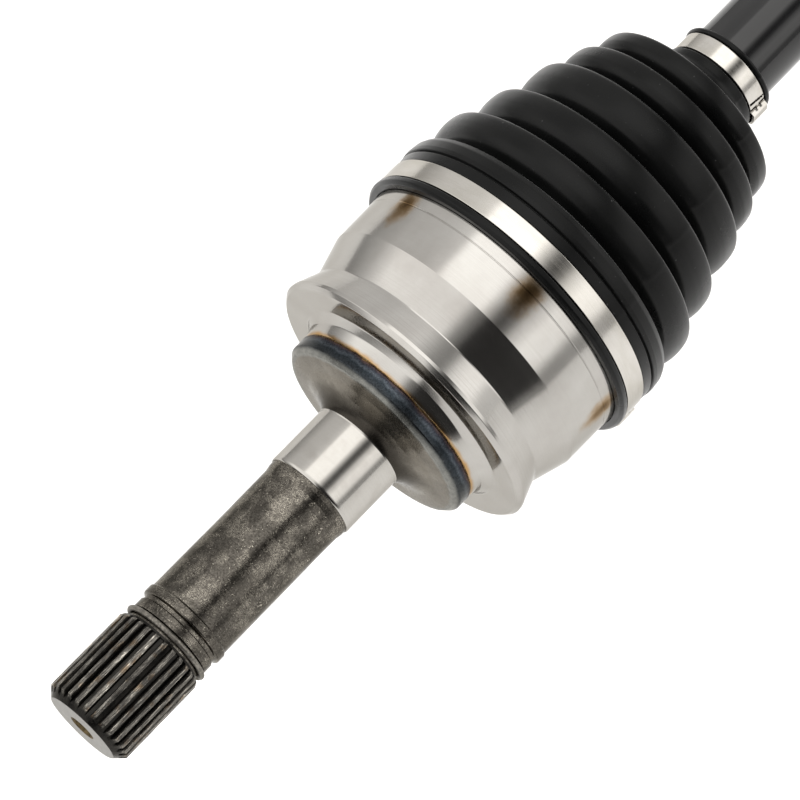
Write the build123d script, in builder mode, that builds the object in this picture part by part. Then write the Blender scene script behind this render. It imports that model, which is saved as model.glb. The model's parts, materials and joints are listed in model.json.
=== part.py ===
"""CV axle: a plunging inner joint, a bar and a fixed outer joint, in millimetres.

The frame has +X along the bar towards the wheel, +Z up, and its origin at the middle of the bar.
Angles around the axle are in degrees from +Y towards +Z.
"""

from build123d import *
import math
import os

os.makedirs("parts", exist_ok=True)

# The two joint centres
JOINT_SPAN = 354.0
INNER_CENTRE = -JOINT_SPAN / 2
OUTER_CENTRE = JOINT_SPAN / 2

# Balls, races and cages, alike in both joints
BALL_COUNT = 6
BALL_R = 9.5
BALL_CIRCLE_R = 31.0
RACE_R = 30.0
RACE_HALF = 12.0
CAGE_INNER_R = 30.1
CAGE_OUTER_R = 34.9
CAGE_HALF = 15.0
WINDOW_CLEAR = 0.05
WINDOW_LENGTH = 22.0
HOUSING_BORE_R = 35.1
TRACK_CLEAR = 0.1
INNER_TRACK_SLACK = 0.55
INNER_RACE_SINK = 0.3
OUTER_TRACK_SLACK = 1.7
INNER_PHASE = 0.0
OUTER_PHASE = 30.0

# Bar
BAR_R = 14.0
BAR_NECK_R = 12.0
BAR_SPLINE_TEETH = 26
BAR_SPLINE_R = 12.7
BAR_SPLINE_ROOT = 11.6
BAR_GROOVE_R = 11.2
BAR_OVERHANG = 16.0
BAR_SHOULDER_R = 13.4
SPLINE_CLEAR = 0.05
NECK_START = 20.0
NECK_END = 60.0
TAPER_END = 72.0
BOOT_SEAT_R = 12.6

# Snap rings on the bar
RING_THICK = 1.6
RING_OUTER_R = 14.2
RING_GAP = 4.0
RING_PLAY = 0.1

# Inner stub, as distances from its tip
STUB_TIP = -343.0
STUB_SPLINE_TEETH = 28
STUB_SPLINE_R = 14.95
STUB_SPLINE_ROOT = 13.35
STUB_SPLINE_END = 31.7
STUB_FACE_R = 12.1
STUB_CHAMFER = 2.85
CENTRE_HOLE_R = 4.3
CENTRE_DRILL_R = 1.6
CENTRE_DRILL_DEPTH = 9.0
WIRE_R = 0.9
WIRE_CENTRE = 34.15
WIRE_GROOVE_R = 13.0
JOURNAL_START = 94.0
JOURNAL_END = 114.8
JOURNAL_R = 15.0
SHANK_R = 14.15
DISC_R = 33.4
WELD_AT = 127.4

# Inner joint cup, as distances from the stub's tip
CUP_BOSS_R = 33.6
CUP_FRONT_R = 46.6
CUP_WAIST_R = 43.5
CUP_BODY_R = 47.0
CUP_SEAT_R = 46.2
CUP_MOUTH_R = 43.0
CUP_FLOOR = 134.0
CUP_TRACK_START = 142.0
CUP_MOUTH = 193.5
MOUTH_RING_AT = 189.0
MOUTH_RING_THICK = 1.8
MOUTH_RING_INNER_R = 33.4
MOUTH_RING_OUTER_R = 36.9

# Boots and clamps
BOOT_WALL = 2.5
BOOT_GAP = 0.3
FIRST_FOLD_DEPTH = 3.0
FOLD_DEPTH = 6.0
BAND_THICK = 0.8
BAND_WIDTH = 6.9
SMALL_BAND_WIDTH = 6.3
EAR_RISE = 4.2
EAR_WIDTH = 8.0
INNER_LARGE_BAND_R = 49.4
SMALL_BAND_R = 14.95
OUTER_LARGE_BAND_R = 47.4
LARGE_EAR_ANGLE = 212.0
SMALL_EAR_ANGLE = 195.0

# Outer joint housing, as distances from the outer centre
BELL_MOUTH = -17.0
BELL_SEAT_R = 44.2
BELL_R = 46.5
BELL_MOUTH_R = 36.0
BELL_TRACK_BASE = 40.0
BELL_TRACK_SWEEP = 115.0
FLARE_START = -13.0
SHOULDER_AT = 50.0
SHOULDER_R = 31.0
PILOT_R = 17.0
PILOT_END = 58.0
WHEEL_SPLINE_TEETH = 28
WHEEL_SPLINE_R = 14.0
WHEEL_SPLINE_ROOT = 12.7
WHEEL_SPLINE_START = 62.0
WHEEL_SPLINE_END = 108.0
THREAD_R = 12.0
THREAD_START = 111.0
OUTER_TIP = 132.0


def finish(part, name):
    """Labels a finished piece and writes it."""
    part.part.label = name
    export_step(part.part, f"parts/{name}.step")


def around(radius, angle):
    """The y and z of a point at a radius and an angle around the axle."""
    return radius * math.cos(math.radians(angle)), radius * math.sin(math.radians(angle))


def toothed(teeth, top, root, clear=0.0):
    """Corners of a spline's section: flat-topped teeth with sloping flanks."""
    pitch = 360 / teeth
    half_top = 0.21 * pitch + math.degrees(clear / top)
    half_root = 0.32 * pitch + math.degrees(clear / root)
    corners = []
    for tooth in range(teeth):
        middle = tooth * pitch
        corners.append(around(root + clear, middle - half_root))
        corners.append(around(top + clear, middle - half_top))
        corners.append(around(top + clear, middle + half_top))
        corners.append(around(root + clear, middle + half_root))
    return corners


def section_plane(x, angle=0.0):
    """A plane across the axle at x, whose own x axis points outward at an angle."""
    return Plane(origin=(x, 0, 0), x_dir=(0, *around(1, angle)), z_dir=(1, 0, 0))


def track_plane(centre, angle, tilt):
    """The plane across an arc track, tilt degrees from the ball circle towards +X."""
    lean = math.radians(tilt)
    across = (math.sin(lean), *around(math.cos(lean), angle))
    along = (math.cos(lean), *around(-math.sin(lean), angle))
    return Plane(origin=(centre, 0, 0), x_dir=across, z_dir=along)


def track_axis(centre, angle):
    """The axis that an arc track at an angle bends around."""
    return Axis((centre, 0, 0), (0, *around(1, angle + 90)))


def make_cage(centre, phase):
    """A ring with a spherical skin inside and out, and a window for each ball."""
    with BuildPart() as cage:
        with Locations((centre, 0, 0)):
            Sphere(CAGE_OUTER_R)
            Sphere(CAGE_INNER_R, mode=Mode.SUBTRACT)
            Box(2 * CAGE_HALF, 3 * CAGE_OUTER_R, 3 * CAGE_OUTER_R, mode=Mode.INTERSECT)
        for ball in range(BALL_COUNT):
            outward = (0, *around(1, phase + ball * 360 / BALL_COUNT))
            with BuildSketch(Plane(origin=(centre, 0, 0), x_dir=(1, 0, 0), z_dir=outward)):
                RectangleRounded(2 * (BALL_R + WINDOW_CLEAR), WINDOW_LENGTH, 4)
            extrude(amount=2 * CAGE_OUTER_R, mode=Mode.SUBTRACT)
    return cage


def make_race(centre, phase, arc_tracks):
    """A spherical inner race with a splined bore, and arc or straight ball tracks."""
    with BuildPart() as race:
        with Locations((centre, 0, 0)):
            Sphere(RACE_R)
            Box(2 * RACE_HALF, 3 * RACE_R, 3 * RACE_R, mode=Mode.INTERSECT)
        if arc_tracks:
            for pair in range(BALL_COUNT // 2):
                angle = phase + pair * 360 / BALL_COUNT
                with BuildSketch(section_plane(centre, angle)):
                    with Locations((BALL_CIRCLE_R, 0)):
                        SlotCenterToCenter(2 * OUTER_TRACK_SLACK, 2 * (BALL_R + TRACK_CLEAR), rotation=90)
                revolve(axis=track_axis(centre, angle), mode=Mode.SUBTRACT)
        else:
            for ball in range(BALL_COUNT):
                angle = phase + ball * 360 / BALL_COUNT
                with BuildSketch(section_plane(centre - RACE_HALF, angle)):
                    with Locations((BALL_CIRCLE_R - INNER_RACE_SINK / 2, 0)):
                        SlotCenterToCenter(2 * INNER_TRACK_SLACK, 2 * (BALL_R + INNER_RACE_SINK), rotation=90)
                extrude(amount=2 * RACE_HALF, mode=Mode.SUBTRACT)
        with BuildSketch(section_plane(centre - RACE_HALF)):
            with BuildLine():
                Polyline(*toothed(BAR_SPLINE_TEETH, BAR_SPLINE_R, BAR_SPLINE_ROOT, SPLINE_CLEAR), close=True)
            make_face()
        extrude(amount=2 * RACE_HALF, mode=Mode.SUBTRACT)
    return race


def make_ball(centre, angle):
    """One ball on the ball circle."""
    with BuildPart() as ball:
        with Locations((centre, *around(BALL_CIRCLE_R, angle))):
            Sphere(BALL_R)
    return ball


def make_split_ring(start, thick, inner_r, outer_r, gap_angle):
    """A flat ring across the axle with a gap in it."""
    with BuildPart() as ring:
        with BuildSketch(section_plane(start, gap_angle)):
            Circle(outer_r)
            Circle(inner_r, mode=Mode.SUBTRACT)
            with Locations(((inner_r + outer_r) / 2, 0)):
                Rectangle(2 * (outer_r - inner_r), RING_GAP, mode=Mode.SUBTRACT)
        extrude(amount=thick)
    return ring


def make_clamp(start, width, inner_r, ear_angle):
    """A steel band around a boot, with the crimped ear that tightened it."""
    outer_r = inner_r + BAND_THICK
    with BuildPart() as clamp:
        with BuildSketch(section_plane(start, ear_angle)):
            Circle(outer_r)
            with Locations((inner_r, 0)):
                RectangleRounded(2 * EAR_RISE, EAR_WIDTH, 1.6)
            Circle(inner_r, mode=Mode.SUBTRACT)
            with Locations((inner_r - BAND_THICK, 0)):
                RectangleRounded(2 * EAR_RISE, EAR_WIDTH - 2 * BAND_THICK, 0.8, mode=Mode.SUBTRACT)
        extrude(amount=width)
    return clamp


def make_boot(wall_line, lip, tail):
    """A boot: a bent wall of even thickness with a thick lip and a thick tail, each an outline."""
    with BuildPart() as boot:
        with BuildSketch(Plane.XZ):
            with BuildLine():
                Polyline(*wall_line)
                offset(amount=BOOT_WALL / 2, side=Side.BOTH, closed=True, mode=Mode.REPLACE)
            make_face()
            for outline in (lip, tail):
                with BuildLine():
                    Polyline(*outline, close=True)
                make_face()
        revolve(axis=Axis.X)
    return boot


def folds(crests):
    """The middle line of a bellows: a valley close behind each crest, the first one shallow."""
    middle = [(crests[0][0], crests[0][1] - BOOT_WALL / 2)]
    depth = FIRST_FOLD_DEPTH
    for (x, _), (next_x, next_r) in zip(crests, crests[1:]):
        middle.append((x + 0.42 * (next_x - x), next_r - depth))
        middle.append((next_x, next_r - BOOT_WALL / 2))
        depth = FOLD_DEPTH
    return middle


# Inner stub shaft: spline, ring groove, shank, journal and forged disc
with BuildPart() as inner_stub_shaft:
    with BuildSketch(section_plane(STUB_TIP)):
        with BuildLine():
            Polyline(*toothed(STUB_SPLINE_TEETH, STUB_SPLINE_R, STUB_SPLINE_ROOT), close=True)
        make_face()
    extrude(amount=STUB_SPLINE_END)
    with BuildSketch(Plane.XZ):
        with BuildLine():
            Polyline(
                (STUB_TIP, 0),
                (STUB_TIP, STUB_FACE_R),
                (STUB_TIP + STUB_CHAMFER, STUB_SPLINE_R),
                (STUB_TIP + STUB_SPLINE_END, STUB_SPLINE_R),
                (STUB_TIP + STUB_SPLINE_END, 0),
                close=True,
            )
        make_face()
    revolve(axis=Axis.X, mode=Mode.INTERSECT)
    with BuildSketch(Plane.XZ):
        with BuildLine():
            turned = Polyline(
                (STUB_TIP + WELD_AT, 0),
                (STUB_TIP + STUB_SPLINE_END, 0),
                (STUB_TIP + STUB_SPLINE_END, WIRE_GROOVE_R),
                (STUB_TIP + 35.3, WIRE_GROOVE_R),
                (STUB_TIP + 35.3, 13.85),
                (STUB_TIP + 38.5, 13.85),
                (STUB_TIP + 38.7, 13.5),
                (STUB_TIP + 39.9, 13.5),
                (STUB_TIP + 40.3, 14.6),
                (STUB_TIP + 43.1, 14.6),
                (STUB_TIP + 43.5, SHANK_R),
                (STUB_TIP + 90.8, SHANK_R),
                (STUB_TIP + 92.5, 14.5),
                (STUB_TIP + JOURNAL_START, 14.5),
                (STUB_TIP + JOURNAL_START, JOURNAL_R),
                (STUB_TIP + JOURNAL_END, JOURNAL_R),
            )
            forged = ThreePointArc(
                turned @ 1, (STUB_TIP + 117.6, 17.6), (STUB_TIP + 120.2, 24.0)
            )
            Polyline(
                forged @ 1,
                (STUB_TIP + 121.0, DISC_R - 1.6),
                (STUB_TIP + 122.6, DISC_R),
                (STUB_TIP + WELD_AT, DISC_R),
                (STUB_TIP + WELD_AT, 0),
            )
        make_face()
    revolve(axis=Axis.X)
    with BuildSketch(Plane.XZ):
        with BuildLine():
            Polyline(
                (STUB_TIP, 0),
                (STUB_TIP, CENTRE_HOLE_R),
                (STUB_TIP + (CENTRE_HOLE_R - CENTRE_DRILL_R) * math.sqrt(3), CENTRE_DRILL_R),
                (STUB_TIP + CENTRE_DRILL_DEPTH, CENTRE_DRILL_R),
                (STUB_TIP + CENTRE_DRILL_DEPTH + 0.9, 0),
                close=True,
            )
        make_face()
    revolve(axis=Axis.X, mode=Mode.SUBTRACT)
finish(inner_stub_shaft, "inner_stub_shaft")

# Stub retaining ring: round wire with a gap, sprung into its groove
with BuildPart() as stub_retaining_ring:
    with BuildSketch(Plane.XZ):
        with Locations((STUB_TIP + WIRE_CENTRE, WIRE_GROOVE_R + 0.02 + WIRE_R)):
            Circle(WIRE_R)
    revolve(axis=Axis.X)
    with BuildSketch(section_plane(STUB_TIP + WIRE_CENTRE - WIRE_R, LARGE_EAR_ANGLE)):
        with Locations((WIRE_GROOVE_R + WIRE_R, 0)):
            Rectangle(4 * WIRE_R, RING_GAP)
    extrude(amount=2 * WIRE_R, mode=Mode.SUBTRACT)
finish(stub_retaining_ring, "stub_retaining_ring")

# Inner joint cup: straight tracks in a cylindrical bore
with BuildPart() as inner_joint_cup:
    with BuildSketch(Plane.XZ):
        with BuildLine():
            Polyline(
                (STUB_TIP + WELD_AT, 0),
                (STUB_TIP + WELD_AT, CUP_BOSS_R),
                (STUB_TIP + 131.4, CUP_BOSS_R),
                (STUB_TIP + 133.0, CUP_BOSS_R + 1.6),
                (STUB_TIP + 133.0, CUP_FRONT_R - 1.2),
                (STUB_TIP + 134.2, CUP_FRONT_R),
                (STUB_TIP + 135.2, CUP_FRONT_R),
                (STUB_TIP + 143.7, CUP_WAIST_R),
                (STUB_TIP + 155.7, CUP_BODY_R),
                (STUB_TIP + 173.7, CUP_BODY_R + 0.4),
                (STUB_TIP + 175.7, CUP_SEAT_R),
                (STUB_TIP + 184.6, CUP_SEAT_R),
                (STUB_TIP + 186.2, CUP_BODY_R - 0.6),
                (STUB_TIP + 187.5, CUP_BODY_R - 0.6),
                (STUB_TIP + 192.5, CUP_MOUTH_R),
                (STUB_TIP + CUP_MOUTH, CUP_MOUTH_R),
                (STUB_TIP + CUP_MOUTH, HOUSING_BORE_R + 1.5),
                (STUB_TIP + CUP_MOUTH - 1.0, HOUSING_BORE_R),
                (STUB_TIP + CUP_FLOOR, HOUSING_BORE_R),
                (STUB_TIP + CUP_FLOOR, 0),
                close=True,
            )
        make_face()
    revolve(axis=Axis.X)
    for ball in range(BALL_COUNT):
        angle = INNER_PHASE + ball * 360 / BALL_COUNT
        with BuildSketch(section_plane(STUB_TIP + CUP_TRACK_START, angle)):
            with Locations((BALL_CIRCLE_R, 0)):
                SlotCenterToCenter(2 * INNER_TRACK_SLACK, 2 * (BALL_R + TRACK_CLEAR), rotation=90)
        extrude(amount=CUP_MOUTH - CUP_TRACK_START, mode=Mode.SUBTRACT)
    with BuildSketch(section_plane(STUB_TIP + MOUTH_RING_AT - RING_PLAY)):
        Circle(MOUTH_RING_OUTER_R + RING_PLAY)
    extrude(amount=MOUTH_RING_THICK + 2 * RING_PLAY, mode=Mode.SUBTRACT)
finish(inner_joint_cup, "inner_joint_cup")

inner_mouth_ring = make_split_ring(
    STUB_TIP + MOUTH_RING_AT, MOUTH_RING_THICK, MOUTH_RING_INNER_R, MOUTH_RING_OUTER_R, 30
)
finish(inner_mouth_ring, "inner_mouth_ring")

# Bar: a spline at each end, a neck inside each boot and a seat for each boot's small end
INNER_BAR_SEAT = STUB_TIP + 271.5
OUTER_BAR_SEAT = OUTER_CENTRE - 95.4
SEAT_LENGTH = 8.0
with BuildPart() as shaft_bar:
    with BuildSketch(section_plane(INNER_CENTRE - BAR_OVERHANG)):
        with BuildLine():
            Polyline(*toothed(BAR_SPLINE_TEETH, BAR_SPLINE_R, BAR_SPLINE_ROOT), close=True)
        make_face()
    extrude(amount=JOINT_SPAN + 2 * BAR_OVERHANG)
    with BuildSketch(Plane.XZ):
        with BuildLine():
            Polyline(
                (INNER_CENTRE - BAR_OVERHANG, 0),
                (INNER_CENTRE - BAR_OVERHANG, BAR_GROOVE_R),
                (INNER_CENTRE - BAR_OVERHANG + 1.5, BAR_SPLINE_R),
                (OUTER_CENTRE + BAR_OVERHANG - 1.5, BAR_SPLINE_R),
                (OUTER_CENTRE + BAR_OVERHANG, BAR_GROOVE_R),
                (OUTER_CENTRE + BAR_OVERHANG, 0),
                close=True,
            )
        make_face()
    revolve(axis=Axis.X, mode=Mode.INTERSECT)
    with BuildSketch(Plane.XZ):
        with BuildLine():
            Polyline(
                (INNER_CENTRE + NECK_START, 0),
                (INNER_CENTRE + NECK_START, BAR_SPLINE_ROOT),
                (INNER_CENTRE + NECK_START + 3, BAR_SPLINE_R),
                (INNER_CENTRE + NECK_END, BAR_SPLINE_R),
                (INNER_CENTRE + TAPER_END, BAR_R),
                (INNER_BAR_SEAT, BAR_R),
                (INNER_BAR_SEAT, BOOT_SEAT_R),
                (INNER_BAR_SEAT + SEAT_LENGTH, BOOT_SEAT_R),
                (INNER_BAR_SEAT + SEAT_LENGTH, BAR_R),
                (OUTER_BAR_SEAT, BAR_R),
                (OUTER_BAR_SEAT, BOOT_SEAT_R),
                (OUTER_BAR_SEAT + SEAT_LENGTH, BOOT_SEAT_R),
                (OUTER_BAR_SEAT + SEAT_LENGTH, BAR_R),
                (OUTER_CENTRE - TAPER_END, BAR_R),
                (OUTER_CENTRE - NECK_END, BAR_NECK_R),
                (OUTER_CENTRE - NECK_START, BAR_NECK_R),
                (OUTER_CENTRE - NECK_START + 3, BAR_SHOULDER_R),
                (OUTER_CENTRE - RACE_HALF - RING_PLAY, BAR_SHOULDER_R),
                (OUTER_CENTRE - RACE_HALF - RING_PLAY, 0),
                close=True,
            )
        make_face()
    revolve(axis=Axis.X)
    for groove in (
        INNER_CENTRE - RACE_HALF - RING_THICK - 2 * RING_PLAY,
        INNER_CENTRE + RACE_HALF,
        OUTER_CENTRE + RACE_HALF,
    ):
        with BuildSketch(section_plane(groove)):
            Circle(2 * BAR_R)
            Circle(BAR_GROOVE_R, mode=Mode.SUBTRACT)
        extrude(amount=RING_THICK + 2 * RING_PLAY, mode=Mode.SUBTRACT)
finish(shaft_bar, "shaft_bar")

# Races, cages, balls and the rings that keep the races on the bar
finish(make_race(INNER_CENTRE, INNER_PHASE, arc_tracks=False), "inner_race")
finish(make_race(OUTER_CENTRE, OUTER_PHASE, arc_tracks=True), "outer_race")
finish(make_cage(INNER_CENTRE, INNER_PHASE), "inner_cage")
finish(make_cage(OUTER_CENTRE, OUTER_PHASE), "outer_cage")
for ball in range(BALL_COUNT):
    angle = ball * 360 / BALL_COUNT
    finish(make_ball(INNER_CENTRE, INNER_PHASE + angle), f"inner_ball_{ball + 1}")
    finish(make_ball(OUTER_CENTRE, OUTER_PHASE + angle), f"outer_ball_{ball + 1}")
for ring_start, ring_name in (
    (INNER_CENTRE - RACE_HALF - RING_THICK - RING_PLAY, "inner_race_snap_ring"),
    (INNER_CENTRE + RACE_HALF + RING_PLAY, "inner_race_stop_ring"),
    (OUTER_CENTRE + RACE_HALF + RING_PLAY, "outer_race_circlip"),
):
    ring = make_split_ring(ring_start, RING_THICK, BAR_GROOVE_R + 0.02, RING_OUTER_R, 90)
    finish(ring, ring_name)

# Outer joint housing: bell, bearing shoulder, wheel spline and thread in one forging
with BuildPart() as outer_joint_housing:
    with BuildSketch(section_plane(OUTER_CENTRE + SHOULDER_AT)):
        with BuildLine():
            Polyline(*toothed(WHEEL_SPLINE_TEETH, WHEEL_SPLINE_R, WHEEL_SPLINE_ROOT), close=True)
        make_face()
    extrude(amount=WHEEL_SPLINE_END - SHOULDER_AT)
    with BuildSketch(Plane.XZ):
        with BuildLine():
            front = Polyline(
                (OUTER_CENTRE + FLARE_START, 0),
                (OUTER_CENTRE + BELL_MOUTH, 0),
                (OUTER_CENTRE + BELL_MOUTH, BELL_SEAT_R - 1.0),
                (OUTER_CENTRE + BELL_MOUTH + 1.0, BELL_SEAT_R),
                (OUTER_CENTRE - 2.4, BELL_SEAT_R),
                (OUTER_CENTRE - 0.4, BELL_R),
                (OUTER_CENTRE + 12.0, BELL_R),
            )
            shell = ThreePointArc(
                front @ 1, (OUTER_CENTRE + 28.0, 41.0), (OUTER_CENTRE + 38.0, 29.0)
            )
            Polyline(
                shell @ 1,
                (OUTER_CENTRE + 42.0, 28.0),
                (OUTER_CENTRE + 44.0, SHOULDER_R),
                (OUTER_CENTRE + SHOULDER_AT, SHOULDER_R),
                (OUTER_CENTRE + SHOULDER_AT, PILOT_R),
                (OUTER_CENTRE + PILOT_END, PILOT_R),
                (OUTER_CENTRE + WHEEL_SPLINE_START, WHEEL_SPLINE_R),
                (OUTER_CENTRE + WHEEL_SPLINE_START, 0),
                (OUTER_CENTRE + FLARE_START, 0),
            )
        make_face()
        with BuildLine():
            Polyline(
                (OUTER_CENTRE + WHEEL_SPLINE_END, 0),
                (OUTER_CENTRE + WHEEL_SPLINE_END, THREAD_R - 1.0),
                (OUTER_CENTRE + THREAD_START, THREAD_R - 1.0),
                (OUTER_CENTRE + THREAD_START, THREAD_R),
                (OUTER_CENTRE + OUTER_TIP - 1.5, THREAD_R),
                (OUTER_CENTRE + OUTER_TIP, THREAD_R - 1.5),
                (OUTER_CENTRE + OUTER_TIP, 0),
                close=True,
            )
        make_face()
    revolve(axis=Axis.X)
    with BuildSketch(Plane.XZ):
        with BuildLine():
            Polyline(
                (OUTER_CENTRE + OUTER_TIP, 0),
                (OUTER_CENTRE + OUTER_TIP, CENTRE_HOLE_R - 1.0),
                (OUTER_CENTRE + OUTER_TIP - 4.0, CENTRE_DRILL_R - 0.4),
                (OUTER_CENTRE + OUTER_TIP - 8.0, 0),
                close=True,
            )
        make_face()
    revolve(axis=Axis.X, mode=Mode.SUBTRACT)
    with Locations((OUTER_CENTRE, 0, 0)):
        Sphere(HOUSING_BORE_R, mode=Mode.SUBTRACT)
    with BuildSketch(Plane.XZ):
        with BuildLine():
            Polyline(
                (OUTER_CENTRE + FLARE_START, 0),
                (OUTER_CENTRE + FLARE_START, HOUSING_BORE_R - 4.0),
                (OUTER_CENTRE + BELL_MOUTH, BELL_MOUTH_R),
                (OUTER_CENTRE + BELL_MOUTH, 0),
                close=True,
            )
        make_face()
    revolve(axis=Axis.X, mode=Mode.SUBTRACT)
    for ball in range(BALL_COUNT):
        angle = OUTER_PHASE + ball * 360 / BALL_COUNT
        with BuildSketch(track_plane(OUTER_CENTRE, angle, BELL_TRACK_BASE)):
            with Locations((BALL_CIRCLE_R, 0)):
                SlotCenterToCenter(2 * OUTER_TRACK_SLACK, 2 * (BALL_R + TRACK_CLEAR), rotation=90)
        revolve(
            axis=track_axis(OUTER_CENTRE, angle), revolution_arc=BELL_TRACK_SWEEP, mode=Mode.SUBTRACT
        )
finish(outer_joint_housing, "outer_joint_housing")

# Inner boot, as distances from the stub's tip
INNER_CRESTS = [(187.5, 50.5), (203.3, 48.5), (217.6, 44.3), (232.8, 40.2), (246.0, 36.2), (256.9, 32.4)]
inner_crests = [(STUB_TIP + x, r) for x, r in INNER_CRESTS]
inner_boot = make_boot(
    [
        (STUB_TIP + 180.0, INNER_LARGE_BAND_R - BOOT_GAP - BOOT_WALL / 2),
        (STUB_TIP + 184.0, INNER_LARGE_BAND_R - BOOT_GAP - BOOT_WALL / 2),
    ]
    + folds(inner_crests)
    + [(STUB_TIP + 262.5, 15.3), (STUB_TIP + 270.0, BAR_R + BOOT_GAP + BOOT_WALL / 2)],
    [
        (STUB_TIP + 173.7, CUP_BODY_R + 0.4 + BOOT_GAP),
        (STUB_TIP + 173.7, 49.6),
        (STUB_TIP + 174.5, 50.4),
        (STUB_TIP + 176.0, 50.4),
        (STUB_TIP + 176.4, INNER_LARGE_BAND_R - BOOT_GAP),
        (STUB_TIP + 184.0, INNER_LARGE_BAND_R - BOOT_GAP),
        (STUB_TIP + 184.0, CUP_SEAT_R + BOOT_GAP),
        (STUB_TIP + 175.9, CUP_SEAT_R + BOOT_GAP),
    ],
    [
        (STUB_TIP + 269.0, BAR_R + BOOT_GAP),
        (STUB_TIP + 269.0, 16.8),
        (STUB_TIP + 272.3, 16.4),
        (STUB_TIP + 272.4, SMALL_BAND_R - BOOT_GAP),
        (STUB_TIP + 279.2, SMALL_BAND_R - BOOT_GAP),
        (STUB_TIP + 279.4, 16.2),
        (STUB_TIP + 281.0, 16.2),
        (STUB_TIP + 281.0, BAR_R + BOOT_GAP),
    ],
)
finish(inner_boot, "inner_boot")
inner_boot_large_clamp = make_clamp(STUB_TIP + 176.7, BAND_WIDTH, INNER_LARGE_BAND_R, LARGE_EAR_ANGLE)
finish(inner_boot_large_clamp, "inner_boot_large_clamp")
inner_boot_small_clamp = make_clamp(STUB_TIP + 272.7, SMALL_BAND_WIDTH, SMALL_BAND_R, SMALL_EAR_ANGLE)
finish(inner_boot_small_clamp, "inner_boot_small_clamp")

# Outer boot, as distances from the outer centre
OUTER_FOLDS = 6
outer_crests = [
    (OUTER_CENTRE - 21.4 - 11.6 * fold, 47.6 - 3.9 * fold) for fold in range(OUTER_FOLDS)
]
outer_boot = make_boot(
    [(OUTER_CENTRE - 8.4, OUTER_LARGE_BAND_R - BOOT_GAP - BOOT_WALL / 2)]
    + folds(outer_crests)
    + [(OUTER_CENTRE - 84.4, 15.8), (OUTER_CENTRE - 86.8, BAR_R + BOOT_GAP + BOOT_WALL / 2)],
    [
        (OUTER_CENTRE - 3.0, BELL_SEAT_R + BOOT_GAP),
        (OUTER_CENTRE - 3.0, 48.4),
        (OUTER_CENTRE - 5.4, 48.4),
        (OUTER_CENTRE - 5.7, OUTER_LARGE_BAND_R - BOOT_GAP),
        (OUTER_CENTRE - 14.4, OUTER_LARGE_BAND_R - BOOT_GAP),
        (OUTER_CENTRE - 14.4, BELL_SEAT_R + BOOT_GAP),
    ],
    [
        (OUTER_CENTRE - 86.9, BAR_R + BOOT_GAP),
        (OUTER_CENTRE - 86.9, 16.8),
        (OUTER_CENTRE - 87.9, SMALL_BAND_R - BOOT_GAP),
        (OUTER_CENTRE - 95.0, SMALL_BAND_R - BOOT_GAP),
        (OUTER_CENTRE - 95.2, 16.2),
        (OUTER_CENTRE - 96.8, 16.2),
        (OUTER_CENTRE - 96.8, BAR_R + BOOT_GAP),
    ],
)
finish(outer_boot, "outer_boot")
outer_boot_large_clamp = make_clamp(
    OUTER_CENTRE - 6.2 - BAND_WIDTH, BAND_WIDTH, OUTER_LARGE_BAND_R, LARGE_EAR_ANGLE
)
finish(outer_boot_large_clamp, "outer_boot_large_clamp")
outer_boot_small_clamp = make_clamp(
    OUTER_CENTRE - 88.4 - SMALL_BAND_WIDTH, SMALL_BAND_WIDTH, SMALL_BAND_R, SMALL_EAR_ANGLE
)
finish(outer_boot_small_clamp, "outer_boot_small_clamp")
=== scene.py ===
import json
import math
from bisect import bisect

import bpy
import numpy as np
from mathutils import Matrix, Vector


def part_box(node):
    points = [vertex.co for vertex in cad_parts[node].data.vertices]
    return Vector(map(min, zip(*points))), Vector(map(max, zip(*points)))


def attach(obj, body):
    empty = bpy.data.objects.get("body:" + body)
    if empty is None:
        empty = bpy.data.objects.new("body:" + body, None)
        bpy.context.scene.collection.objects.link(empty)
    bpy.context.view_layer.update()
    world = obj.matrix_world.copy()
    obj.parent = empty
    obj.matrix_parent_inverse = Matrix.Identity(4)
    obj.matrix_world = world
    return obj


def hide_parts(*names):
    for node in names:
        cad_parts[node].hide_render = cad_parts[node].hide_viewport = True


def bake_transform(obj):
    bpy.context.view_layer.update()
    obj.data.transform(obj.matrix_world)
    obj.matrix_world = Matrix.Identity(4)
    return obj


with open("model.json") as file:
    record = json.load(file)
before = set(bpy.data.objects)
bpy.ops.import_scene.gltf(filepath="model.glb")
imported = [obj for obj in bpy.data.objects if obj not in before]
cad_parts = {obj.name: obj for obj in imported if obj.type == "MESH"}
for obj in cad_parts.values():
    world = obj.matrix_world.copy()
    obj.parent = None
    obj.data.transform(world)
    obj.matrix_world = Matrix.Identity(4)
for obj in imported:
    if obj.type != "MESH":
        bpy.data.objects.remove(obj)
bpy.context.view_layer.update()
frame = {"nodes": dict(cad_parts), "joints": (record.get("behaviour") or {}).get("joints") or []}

# Outlines are in mm. Inner pieces count x from the inner stub's tip, outer ones from the outer joint's centre.
MM = 0.001
JOINTS = {joint["name"]: joint for joint in frame["joints"]}
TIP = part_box("inner_stub_shaft")[0].x / MM
OUTER = JOINTS["outer_tilt"]["pos_m"][0] / MM
TURN = 2 * math.pi


# ---------------------------------------------------------------- outlines

ROUND_SHARE = 0.48  # how much of a neighbouring line a rounded corner may take


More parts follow.
